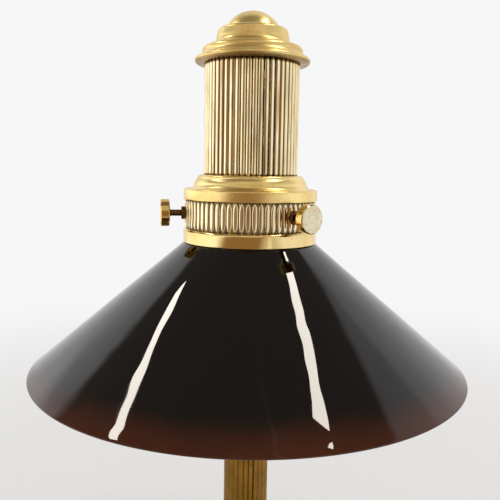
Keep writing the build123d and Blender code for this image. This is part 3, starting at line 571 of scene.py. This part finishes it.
def brass(name, bright, deep, smooth, rough, turned=True, worn_and_highlight=0.0, specks=0.5, streaks=0.0, cut=0.1,
          painted_underside_shade=0.0):
    """Aged polished brass: uneven tone and gloss, fine tool lines, pits and dirt, with painted shade in
    hollows and on undersides and painted highlight on crests.
    """
    made, tree, shader = material(name)
    cloud = ramp(tree, grain(tree, cells=45, detail=6.0), *CLOUDS)
    mottle = grain(tree, cells=700, detail=3.0)
    low = value_of(tree, "groove")
    color = brass_tone(tree, bright, deep, cloud, mottle, low, worn_and_highlight, streaks, painted_underside_shade)
    dark = brass_dirt(tree, low, specks)
    tree.links.new(mixed(tree, dark, color, TARNISH), shader.inputs["Base Color"])
    tree.links.new(ramp(tree, dark, 0.0, 1.0, out_low=1.0, out_high=0.25), shader.inputs["Metallic"])
    matt = sums(tree, "ADD", sums(tree, "MULTIPLY", mottle, 0.2), sums(tree, "MULTIPLY", cloud, 0.8))
    matt = ramp(tree, matt, *UNEVEN_GLOSS, out_low=smooth, out_high=rough)
    tree.links.new(sums(tree, "ADD", matt, sums(tree, "MULTIPLY", dark, 0.3)), shader.inputs["Roughness"])
    if turned:
        lines = grain(tree, cells=2600, stretch=LATHE_STRETCH, detail=3.0)
    else:
        lines = grain(tree, cells=900, detail=3.0)
    height = sums(tree, "SUBTRACT", lines, sums(tree, "MULTIPLY", dark, 0.6))
    bumped(tree, shader, height, cut, BRASS_BUMP)
    return made


def matt_brass(name):
    """Brass with a fine sanded face, as on the ends of the thumb screws."""
    made, tree, shader = material(name)
    speck = grain(tree, cells=1100, detail=5.0, rough=0.7)
    cloud = grain(tree, cells=150, detail=3.0)
    blot = grain(tree, cells=480, detail=3.0)
    color = mixed(tree, ramp(tree, cloud, *CLOUDS), *SANDED)
    color = mixed(tree, ramp(tree, blot, *BLOTS, out_high=0.5), color, SANDED_BLOT)
    color = mixed(tree, ramp(tree, speck, *SPECKS, out_high=0.7), color, SANDED_SPECK)
    tree.links.new(color, shader.inputs["Base Color"])
    shader.inputs["Metallic"].default_value = 1.0
    tree.links.new(ramp(tree, speck, *EVEN, out_low=0.38, out_high=0.55), shader.inputs["Roughness"])
    bumped(tree, shader, speck, strength=0.35, distance=0.03 * MM)
    return made


# Glass and other materials

SHADE_DARK = (0.0040, 0.0021, 0.0013)
SHADE_RED = (0.064, 0.0130, 0.0025)
SHADE_FADE = 14 * MM  # height above the rim at which the red has run out
SHADE_DRIFT = 3 * MM  # how far that height strays up and down
OPAL_SHADOW = 0.93  # how much darker opal glass is in its clouds
FELT_TONES = ((0.030, 0.075, 0.045), (0.075, 0.150, 0.090))
FELT_CLUMP = (0.028, 0.062, 0.040)


def shade_glass(name, rim):
    """Dark brown glass, red-brown towards the rim, with faint smears on a high gloss."""
    made, tree, shader = material(name)
    spot = add(tree, "ShaderNodeTexCoord").outputs["Object"]
    height = add(tree, "ShaderNodeSeparateXYZ", Vector=spot).outputs["Z"]
    drift = ramp(tree, grain(tree, cells=14), 0.2, 0.8, out_low=-SHADE_DRIFT, out_high=SHADE_DRIFT)
    level = add(tree, "ShaderNodeMath", {"operation": "ADD"}, Value=height)
    tree.links.new(drift, level.inputs[1])
    fade = ramp(tree, level.outputs[0], rim, rim + SHADE_FADE, out_low=1.0, out_high=0.0)
    color = mixed(tree, fade, SHADE_DARK, SHADE_RED)
    cloud = ramp(tree, grain(tree, cells=60), 0.3, 0.8, out_high=0.25)
    tree.links.new(mixed(tree, cloud, color, SHADE_DARK), shader.inputs["Base Color"])
    shader.inputs["IOR"].default_value = 1.52
    smear = ramp(tree, grain(tree, cells=35, detail=6.0), 0.45, 0.8, out_low=0.015, out_high=0.05)
    tree.links.new(smear, shader.inputs["Roughness"])
    bumped(tree, shader, grain(tree, cells=900, detail=2.0), strength=0.04, distance=0.004 * MM)
    return made


def opal_glass(name, color, rough):
    """White glass, slightly cloudy, with light passing into it."""
    made, tree, shader = material(name)
    cloud = ramp(tree, grain(tree, cells=70), 0.3, 0.75)
    shadow = tuple(OPAL_SHADOW * c for c in color)
    tree.links.new(mixed(tree, cloud, color, shadow), shader.inputs["Base Color"])
    shader.inputs["Subsurface Weight"].default_value = 0.25
    shader.inputs["Subsurface Radius"].default_value = (0.004, 0.004, 0.0035)
    smear = ramp(tree, grain(tree, cells=400), *EVEN, out_low=rough, out_high=rough + 0.1)
    tree.links.new(smear, shader.inputs["Roughness"])
    bumped(tree, shader, grain(tree, cells=500), strength=0.05, distance=0.01 * MM)
    return made


def plain(name, light, dark, cells, metal, smooth, rough, bump):
    """A grained surface between two tones, for the pieces that show little."""
    made, tree, shader = material(name)
    noisy = grain(tree, cells, detail=5.0)
    tree.links.new(mixed(tree, ramp(tree, noisy, *EVEN), light, dark), shader.inputs["Base Color"])
    shader.inputs["Metallic"].default_value = metal
    tree.links.new(ramp(tree, noisy, *EVEN, out_low=smooth, out_high=rough), shader.inputs["Roughness"])
    bumped(tree, shader, noisy, strength=0.4, distance=bump)
    return made


def felt_cloth(name):
    """Felt, with fine hairs and darker clumps."""
    made, tree, shader = material(name)
    hairs = grain(tree, cells=2200, stretch=(1, 1, 0.6), detail=6.0, rough=0.75)
    clumps = grain(tree, cells=260)
    color = mixed(tree, ramp(tree, hairs, *CLOUDS), *FELT_TONES)
    color = mixed(tree, ramp(tree, clumps, 0.4, 0.7, out_high=0.4), color, FELT_CLUMP)
    tree.links.new(color, shader.inputs["Base Color"])
    shader.inputs["Roughness"].default_value = 0.95
    shader.inputs["Sheen Weight"].default_value = 0.35
    bumped(tree, shader, hairs, strength=0.7, distance=0.15 * MM)
    return made


rim_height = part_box("glass_shade")[0].z
TURNED_BRASS = brass("turned_brass", YELLOW_BRASS, DEEP_BRASS, smooth=0.10, rough=0.20)
# the cap gets painted shade on its undersides
CAP_BRASS = brass("cap_brass", LIGHT_BRASS, DEEP_BRASS, smooth=0.30, rough=0.40, specks=0.3, cut=0.03,
                  painted_underside_shade=0.8)
COLLAR_BRASS = brass("collar_brass", LIGHT_BRASS, DEEP_BRASS, smooth=0.28, rough=0.36, specks=0.3, cut=0.03)
REEDED_BRASS = brass("reeded_brass", PALE_BRASS, YELLOW_BRASS, smooth=0.08, rough=0.16, turned=False,
                     worn_and_highlight=0.8, specks=0.8, streaks=0.55)
# the column's brass is darkened with painted shade and a painted dark reflection
SHADED_COLUMN_BRASS = brass("column_brass_painted_shade", SHADED_AGED_BRASS, SHADED_OLD_BRASS, smooth=0.12, rough=0.24, turned=False, specks=0.7)
RIBBED_BRASS = brass("ribbed_brass", PALE_BRASS, YELLOW_BRASS, smooth=0.10, rough=0.20, turned=False,
                     worn_and_highlight=0.6, streaks=0.5)
HEAD_BRASS = brass("head_brass", DEEP_BRASS, BRONZED_BRASS, smooth=0.10, rough=0.20)
ROD_BRASS = brass("rod_brass", GOLD_BRASS, DEEP_BRASS, smooth=0.18, rough=0.36)
MATT_BRASS = matt_brass("matt_brass")
DARK_BRASS = plain("dark_brass", BROWN_BRASS, DARK_BROWN, cells=300, metal=1.0, smooth=0.25, rough=0.45,
                   bump=0.02 * MM)
SHADE_GLASS = shade_glass("shade_glass", rim_height)
SHADE_WHITE = opal_glass("shade_white", (0.86, 0.85, 0.82), rough=0.12)
BULB_WHITE = opal_glass("bulb_white", (0.90, 0.895, 0.88), rough=0.25)
FELT = felt_cloth("green_felt")
STEEL = plain("zinc_steel", (0.62, 0.62, 0.60), (0.42, 0.42, 0.41), cells=500, metal=1.0, smooth=0.25,
              rough=0.42, bump=0.02 * MM)
IRON = plain("cast_iron", (0.075, 0.075, 0.08), (0.03, 0.03, 0.032), cells=350, metal=0.3, smooth=0.55,
             rough=0.8, bump=0.2 * MM)
BLACK_PLASTIC = plain("black_plastic", (0.035, 0.034, 0.033), (0.018, 0.018, 0.018), cells=900, metal=0.0,
                      smooth=0.35, rough=0.5, bump=0.02 * MM)
PORCELAIN = plain("porcelain", (0.80, 0.79, 0.75), (0.70, 0.69, 0.65), cells=300, metal=0.0, smooth=0.35,
                  rough=0.55, bump=0.03 * MM)
BLACK_GLASS = plain("black_glass", (0.02, 0.02, 0.024), (0.01, 0.01, 0.012), cells=400, metal=0.0,
                    smooth=0.08, rough=0.2, bump=0.01 * MM)
NYLON = plain("nylon", (0.78, 0.76, 0.70), (0.70, 0.68, 0.62), cells=600, metal=0.0, smooth=0.4, rough=0.55,
              bump=0.01 * MM)


# Turned pieces

TURNED = [  # piece, node, finish and slot
    ("turned_cap", "chimney_cap", CAP_BRASS, "brass"),
    ("turned_collar", "gallery_collar", COLLAR_BRASS, "brass"),
    ("turned_foot", "column_foot", TURNED_BRASS, "brass"),
    ("turned_capital", "column_capital", TURNED_BRASS, "brass"),
    ("lampholder_cup", "holder_cup", ROD_BRASS, "brass"),
    ("lampholder_skirt", "holder_skirt", ROD_BRASS, "brass"),
    ("bulb_ball", "bulb_glass", BULB_WHITE, "opal_glass"),
    ("felt_disc", "felt_pad", FELT, "felt"),
]
for name, node, finish, slot in TURNED:
    piece(name, lathe(softened(seam(node))), [finish], slot, [node])


def screw_place(number):
    """Where a thumb screw lies, from the joint that it turns on."""
    joint = next(j for j in frame["joints"] if j["name"] == f"screw_{number}_turn")
    axis = joint["axis"]
    return radial_place(math.atan2(axis[1], axis[0]), joint["pos_m"][2])


def stay_place(number):
    """Upright axis of a stay, turned so that its seam faces out."""
    low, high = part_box(f"stay_rod_{number}")
    middle = (low + high) / 2
    turn = Matrix.Rotation(math.atan2(middle.y, middle.x), 4, "Z")
    return turn @ Matrix.Translation((math.hypot(middle.x, middle.y), 0, 0))


SCREWS = (1, 2, 3)
STAYS = (1, 2, 3)
screw_places = [screw_place(number) for number in SCREWS]
stay_places = [stay_place(number) for number in STAYS]

cup = piece("spun_cup", lathe(softened(seam("gallery_cup"))), [TURNED_BRASS], "brass", ["gallery_cup"])
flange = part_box("gallery_collar")[0].z
drill(cup, BOSS_SPIGOT, screw_places, CUP_INSIDE, CUP_DRILL)
drill(cup, STAY_HOLE, stay_places, flange - STAY_LEAD, CUP_DRILL)

base = piece("spun_base", lathe(softened(seam("base_shell"))), [TURNED_BRASS], "brass", ["base_shell"])
bush_low, bush_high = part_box("cord_bush")
bush_place = radial_place(math.pi / 2, (bush_low.z + bush_high.z) / 2)
drill(base, BUSH_HOLE, [bush_place], bush_low.y - BUSH_LEAD, BUSH_DRILL)
piece("inlet_bush", lathe(softened(seam("cord_bush", bush_place)), SMALL_SEGMENTS), [BLACK_PLASTIC],
      "black_plastic", ["cord_bush"], place=bush_place)

for number, place in zip(STAYS, stay_places):
    node = f"stay_rod_{number}"
    piece(f"stay_{number}", lathe(softened(seam(node, place)), SMALL_SEGMENTS), [ROD_BRASS], "brass", [node],
          place=place)


# Flat-sided pieces

BEVELLED = [  # piece, node, finish and width of the rounded edges
    ("spider_plate", "stay_spider", ROD_BRASS, 0.4 * MM),
    ("lower_nuts", "stay_lower_nuts", ROD_BRASS, 0.3 * MM),
    ("upper_nuts", "stay_upper_nuts", ROD_BRASS, 0.3 * MM),
    ("bosses", "screw_bosses", DARK_BRASS, 0.25 * MM),
]
for name, node, finish, width in BEVELLED:
    piece(name, bevelled(node, width), [finish], "brass", [node])


# Threads


def threaded(radius, low, high, pitch, depth):
    """Relief of a right-hand thread on the stretch of a turned piece that has a radius."""

    def relief(r, z, turn):
        if abs(r - radius) > SEAM_TOLERANCE or not low < z < high:
            return 0.0
        wave = 0.5 - 0.5 * math.cos(2 * math.pi * (z / pitch - turn / (2 * math.pi)))
        return -depth * wave * min(1.0, (z - low) / pitch, (high - z) / pitch)

    return relief


def threaded_cap():
    """Cap of the bulb, with its coarse thread."""
    low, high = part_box("bulb_cap")
    relief = threaded(high.x, low.z + BULB_PLAIN, high.z - BULB_PLAIN, BULB_PITCH, BULB_THREAD)
    outline = divided(softened(seam("bulb_cap")), BULB_PITCH / THREAD_ROWS)
    piece("bulb_screw_cap", lathe(outline, SMALL_SEGMENTS, relief), [STEEL], "steel", ["bulb_cap"])


def thumb_screw(number, place):
    """Screw with a cut thread and a disc head, matt on its outer face and dark on its shank."""
    node = f"thumb_screw_{number}"
    outline = seam(node, place)
    radius, start = outline[1]
    head = min(z for r, z in outline if r > 2 * radius)
    top = max(z for r, z in outline)
    relief = threaded(radius, start + SCREW_LEAD, head - THREAD_END, SCREW_PITCH, SCREW_THREAD)
    outline = divided(softened(outline, SCREW_EDGE), SCREW_PITCH / THREAD_ROWS, start, head - SCREW_NECK)
    finishes = [HEAD_BRASS, DARK_BRASS, MATT_BRASS]

    def pick(face):
        middle = face.calc_center_median().z
        if middle < head - HEAD_BACK:
            return finishes.index(DARK_BRASS)
        return finishes.index(MATT_BRASS if middle > top - FACE_DEPTH else HEAD_BRASS)

    piece(f"screw_{number}", lathe(outline, SMALL_SEGMENTS, relief), finishes, "brass", [node], body=node,
          place=place, pick=pick)


threaded_cap()
for number, place in zip(SCREWS, screw_places):
    thumb_screw(number, place)


# Reeded tubes and ribbed band


def dirt_layers(bm):
    """What the brass reads from each vertex: its share of the way down a groove, its grime and its tone; at
    the ends of a reeded tube the first two carry painted shade.
    """
    return [bm.verts.layers.float.new(key) for key in ("groove", "grime", "tone")]


def dirty_vertex(bm, layers, spot, values):
    """A vertex that keeps a value in each layer."""
    vertex = bm.verts.new(spot)
    for layer, value in zip(layers, values):
        vertex[layer] = value
    return vertex


def close_tube(bm, rings, bore, low, high):
    """Gives the rings of a tube's outside, in order from low to high, a bore and faces."""
    angles = [math.atan2(vertex.co.y, vertex.co.x) for vertex in rings[0]]
    inner = [[bm.verts.new(polar(bore, turn, z)) for turn in angles] for z in (high, low)]
    rings = rings + inner
    for one, other in zip(rings, rings[1:] + rings[:1]):
        span(bm, one, other)
    bmesh.ops.recalc_face_normals(bm, faces=bm.faces)


def radii_of(node):
    """How far each vertex of a node is from the lamp's axis."""
    return [math.hypot(v.co.x, v.co.y) for v in nodes[node].data.vertices]


def groove_grime(angle, rng):
    """How dark a groove is, from its angle to the right of the front."""
    some = MOST_GRIME * rng.random() ** 1.5
    return 1.0 if any(abs(angle - black) < BLACK_REACH for black in BLACK_GROOVES) else some


def reed_points(reeds, groove, crest, rng):
    """Points round a reeded tube: (angle, radius, groove share, grime, tone)."""
    step = 2 * math.pi / reeds
    starts = [step * (reed + rng.uniform(-REED_SHIFT, REED_SHIFT)) for reed in range(reeds)]
    starts.append(starts[0] + 2 * math.pi)
    grimes = [groove_grime(math.degrees(reed * step) - FRONT_ANGLE, rng) for reed in range(reeds)]
    points = []
    for reed in range(reeds):
        proud = rng.uniform(-1.0, 0.0) * REED_UNEVEN
        tone = rng.random() ** 2
        half_turn = (starts[reed + 1] - starts[reed]) / 2
        half_width = groove * math.sin(half_turn)
        rise = crest - groove * math.cos(half_turn)
        bow = (half_width**2 + rise**2) / (2 * rise)
        reach = math.atan2(half_width, bow - rise)
        for i in range(REED_POINTS):
            share = 2 * i / REED_POINTS - 1
            bend = share * reach
            along = crest - bow + bow * math.cos(bend)
            across = bow * math.sin(bend)
            low = abs(share)
            radius = math.hypot(along, across) + proud * (1 - low**4) - (GROOVE_CUT if i == 0 else 0)
            near_side = grimes[reed] if share < 0 else grimes[(reed + 1) % reeds]
            angle = starts[reed] + half_turn + math.atan2(across, along)
            points.append((angle, radius, low, near_side, tone))
    return points


def reeded_tube(name, node, reeds, finish, seed):
    """A tube of round upright reeds, each a little uneven, with its own grime in every groove and painted
    shade at both ends.
    """
    rng = random.Random(seed)
    low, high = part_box(node)
    radii = radii_of(node)
    bore, crest = min(radii), max(radii)
    groove = min(r for r in radii if r > bore + REED_WALL)
    points = reed_points(reeds, groove, crest, rng)
    rows = math.ceil((high.z - low.z) / REED_ROW)
    bm = bmesh.new()
    layers = dirt_layers(bm)
    rings = []
    for row in range(rows + 1):
        z = low.z + (high.z - low.z) * row / rows
        # painted shade: the tube's ends are darkened as if they were grimy grooves
        end = max(0.0, 1 - min(z - low.z, high.z - z) / END_SHADE)
        ring = []
        for i, (angle, radius, depth, grime, tone) in enumerate(points):
            dent = noise.noise((i // REED_POINTS * DENT_APART + seed, z / DENT_LENGTH, 0.0)) * REED_DENT
            spot = polar(min(crest, radius + dent), angle, z)
            ring.append(dirty_vertex(bm, layers, spot, (max(depth, end), max(grime, end), tone)))
        rings.append(ring)
    close_tube(bm, rings, bore, low.z, high.z)
    piece(name, bm, [finish], "brass", [node])


def rib_height(share):
    """Cross-section of a rib: a broad crest between round flanks."""
    return 1 - RIB_ROUND * share**2 - (1 - RIB_ROUND) * share**6


def band_row(bm, layers, ribs, root, z, share_up):
    """One row round the band: the points across each rib, and one in the recess beside it."""
    step = 2 * math.pi / BAND_RIBS
    widest = step / 2 - BAND_RIB_GAP / 2 / root
    lens = max(RIB_TIP, 1 - share_up**RIB_FULLNESS)
    crest_share = max(RIB_TIP, 1 - share_up**RIB_STRAIGHT)
    ring = []
    for rib, (proud, tone, grime) in enumerate(ribs):
        middle = (rib + 0.5) * step
        dirt = (max(LEAST_RIB_GRIME + MORE_RIB_GRIME * grime, 1 - lens), tone * RIB_TONE)
        for i in range(RIB_POINTS):
            share = 2 * i / (RIB_POINTS - 1) - 1
            radius = root + (BAND_RIB_DEPTH + proud) * crest_share * rib_height(share)
            spot = polar(radius, middle + share * widest * lens, z)
            ring.append(dirty_vertex(bm, layers, spot, (abs(share) ** 3, *dirt)))
        recess = polar(root - BAND_RECESS * (1 - lens), middle + step / 2, z)
        ring.append(dirty_vertex(bm, layers, recess, (1.0, *dirt)))
    return ring


def ribbed_band():
    """Strip of upright ribs, each widest at mid height, with pointed recesses between their ends."""
    rng = random.Random(BAND_SEED)
    low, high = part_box("reeded_band")
    radii = radii_of("reeded_band")
    root = max(radii) - BAND_RIB_DEPTH
    middle = (low.z + high.z) / 2
    half = (high.z - low.z) / 2
    ribs = [(rng.uniform(-1, 0) * REED_UNEVEN, rng.random() ** 2, rng.random()) for _ in range(BAND_RIBS)]
    bm = bmesh.new()
    layers = dirt_layers(bm)
    rings = []
    for row in range(RIB_ROWS):
        z = low.z + 2 * half * row / (RIB_ROWS - 1)
        rings.append(band_row(bm, layers, ribs, root, z, abs(z - middle) / half))
    close_tube(bm, rings, min(radii), low.z, high.z)
    return piece("ribbed_band", bm, [RIBBED_BRASS], "brass", ["reeded_band"])


reeded_tube("chimney_reeds", "chimney", CHIMNEY_REEDS, REEDED_BRASS, seed=11)
reeded_tube("column_reeds", "reeded_column", COLUMN_REEDS, SHADED_COLUMN_BRASS, seed=5)
band = ribbed_band()
boss_low, boss_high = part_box("screw_bosses")
boss_radius = (boss_high.z - boss_low.z) / 2 + BOSS_PLAY
drill(band, boss_radius, screw_places, BAND_INSIDE, BAND_DRILL)


# Glass shade


def shade_waves(radius, height, turn):
    """Faint waves of hand-blown glass."""
    spot = Vector(polar(radius, turn, height))
    wave = noise.noise(spot / WAVE_LENGTH) * WAVE_HEIGHT
    ripple = noise.noise(spot / RIPPLE_LENGTH + RIPPLE_SHIFT) * RIPPLE_HEIGHT
    rise = (radius - CALM_NECK[0]) / (CALM_NECK[1] - CALM_NECK[0])
    fall = (CALM_RIM[1] - radius) / (CALM_RIM[1] - CALM_RIM[0])
    calm = max(0.0, min(1.0, rise, fall))
    return (wave + ripple - WAVE_HEIGHT / 2) * calm


def blown_shade():
    """Shade of blown glass, dark outside and white inside."""
    outline = divided(softened(seam("glass_shade"), SHADE_EDGE), SHADE_ROW)
    finishes = [SHADE_GLASS, SHADE_WHITE]

    def pick(face):
        spot = face.calc_center_median()
        out = Vector((spot.x, spot.y, 0)).normalized()
        white = face.normal.dot(out) < INWARD or face.normal.z < DOWNWARD
        return finishes.index(SHADE_WHITE if white else SHADE_GLASS)

    bm = lathe(outline, SHADE_SEGMENTS, shade_waves)
    piece("blown_shade", bm, finishes, "brown_glass", ["glass_shade"], pick=pick)


blown_shade()


# Pieces that keep the shape of their solids

KEPT = {
    IRON: ["base_weight"],
    STEEL: ["base_washer", "base_nut", "stem_tube", "terminal_screws"],
    PORCELAIN: ["holder_insulator"],
    ROD_BRASS: ["holder_screw_shell", "holder_contact", "bulb_contact"],
    BLACK_GLASS: ["bulb_insulator"],
    NYLON: ["screw_tip_1", "screw_tip_2", "screw_tip_3"],
}
for finish, names in KEPT.items():
    for name in names:
        for holder in nodes[name].material_slots:
            holder.material = finish


# Studio


def pale_floor():
    """A pale matt floor that runs out into the background far from the lamp."""
    finish, tree, shader = material("pale_floor")
    tree.links.new(mixed(tree, grain(tree, cells=3.0), *FLOOR_TONES), shader.inputs["Base Color"])
    shader.inputs["Roughness"].default_value = 0.7
    spot = add(tree, "ShaderNodeTexCoord").outputs["Object"]
    away = add(tree, "ShaderNodeVectorMath", {"operation": "LENGTH"}, Vector=spot).outputs["Value"]
    path = add(tree, "ShaderNodeLightPath")
    glow = add(tree, "ShaderNodeEmission", Color=rgba(BACKGROUND), Strength=1.0)
    clear = add(tree, "ShaderNodeBsdfTransparent")
    seen = shader
    for end, ray, fade in ((glow, "Is Camera Ray", FLOOR_FADE), (clear, "Is Glossy Ray", GLOSS_FADE)):
        far = sums(tree, "MULTIPLY", ramp(tree, away, *fade), path.outputs[ray])
        blend = add(tree, "ShaderNodeMixShader", Fac=far)
        tree.links.new(seen.outputs[0], blend.inputs[1])
        tree.links.new(end.outputs[0], blend.inputs[2])
        seen = blend
    tree.links.new(seen.outputs[0], tree.nodes["Material Output"].inputs["Surface"])
    return finish


def floor():
    """A wide square under the lamp."""
    mesh = bpy.data.meshes.new("floor")
    corners = [(-1, -1), (1, -1), (1, 1), (-1, 1)]
    mesh.from_pydata([(x * FLOOR_HALF, y * FLOOR_HALF, 0) for x, y in corners], [], [(0, 1, 2, 3)])
    obj = bpy.data.objects.new("floor", mesh)
    bpy.context.scene.collection.objects.link(obj)
    mesh.materials.append(pale_floor())


def strip_light(name, x, y, length, turn):
    """A long lamp overhead, turned by some degrees from the line of sight."""
    lamp = bpy.data.lights.new(name, "AREA")
    lamp.shape = "RECTANGLE"
    lamp.size = STRIP_WIDTH
    lamp.size_y = length
    lamp.energy = STRIP_RADIANCE * math.pi * lamp.size * lamp.size_y
    lamp.color = STRIP_COLOR
    obj = bpy.data.objects.new(name, lamp)
    obj.location = (x, y, STRIP_HEIGHT)
    obj.rotation_euler = (0, 0, math.radians(turn))
    bpy.context.scene.collection.objects.link(obj)


def world():
    """Pale to the camera. Metal and glass see that background behind the lamp, and a plain room in front."""
    made = bpy.data.worlds.new("studio")
    bpy.context.scene.world = made
    made.use_nodes = True
    tree = made.node_tree
    light = tree.nodes["Background"]
    way = add(tree, "ShaderNodeTexCoord").outputs["Generated"]

    def share_of(direction, begin, full):
        """How far a way of looking has come past a plane."""
        dot = add(tree, "ShaderNodeVectorMath", {"operation": "DOT_PRODUCT"})
        feed(tree, dot.inputs[0], way)
        dot.inputs[1].default_value = direction
        return ramp(tree, dot.outputs["Value"], begin, full)

    front = mixed(tree, share_of((0, 0, 1), *FRONT_RISE), FRONT_LOW, FRONT_HIGH)
    room = mixed(tree, share_of(*FRONT_PLANE), CEILING, front)
    for tone, first, *others in ROOM:
        share = share_of(*first)
        for plane in others:
            share = sums(tree, "MULTIPLY", share, share_of(*plane))
        room = mixed(tree, share, room, tone)
    path = add(tree, "ShaderNodeLightPath")
    room = mixed(tree, path.outputs["Is Glossy Ray"], FILL, room)
    clear = sums(tree, "ADD", path.outputs["Is Camera Ray"], path.outputs["Is Transmission Ray"])
    tree.links.new(mixed(tree, clear, room, BACKGROUND), light.inputs["Color"])
    light.inputs["Strength"].default_value = 1.0


def camera():
    """Looks at the lamp as the photograph does."""
    lens = bpy.data.cameras.new("camera")
    lens.lens = CAMERA_LENS
    lens.sensor_width = CAMERA_SENSOR
    lens.clip_start = CAMERA_NEAR
    lens.dof.use_dof = False
    obj = bpy.data.objects.new("camera", lens)
    turn = Matrix.Rotation(CAMERA_PITCH, 4, "X") @ Matrix.Rotation(CAMERA_ROLL, 4, "Z")
    obj.matrix_world = Matrix.Translation(CAMERA_PLACE) @ turn
    bpy.context.scene.collection.objects.link(obj)
    bpy.context.scene.camera = obj


floor()
for strip in STRIPS:
    strip_light(*strip)
world()
camera()
bpy.context.scene.view_settings.view_transform = "Standard"
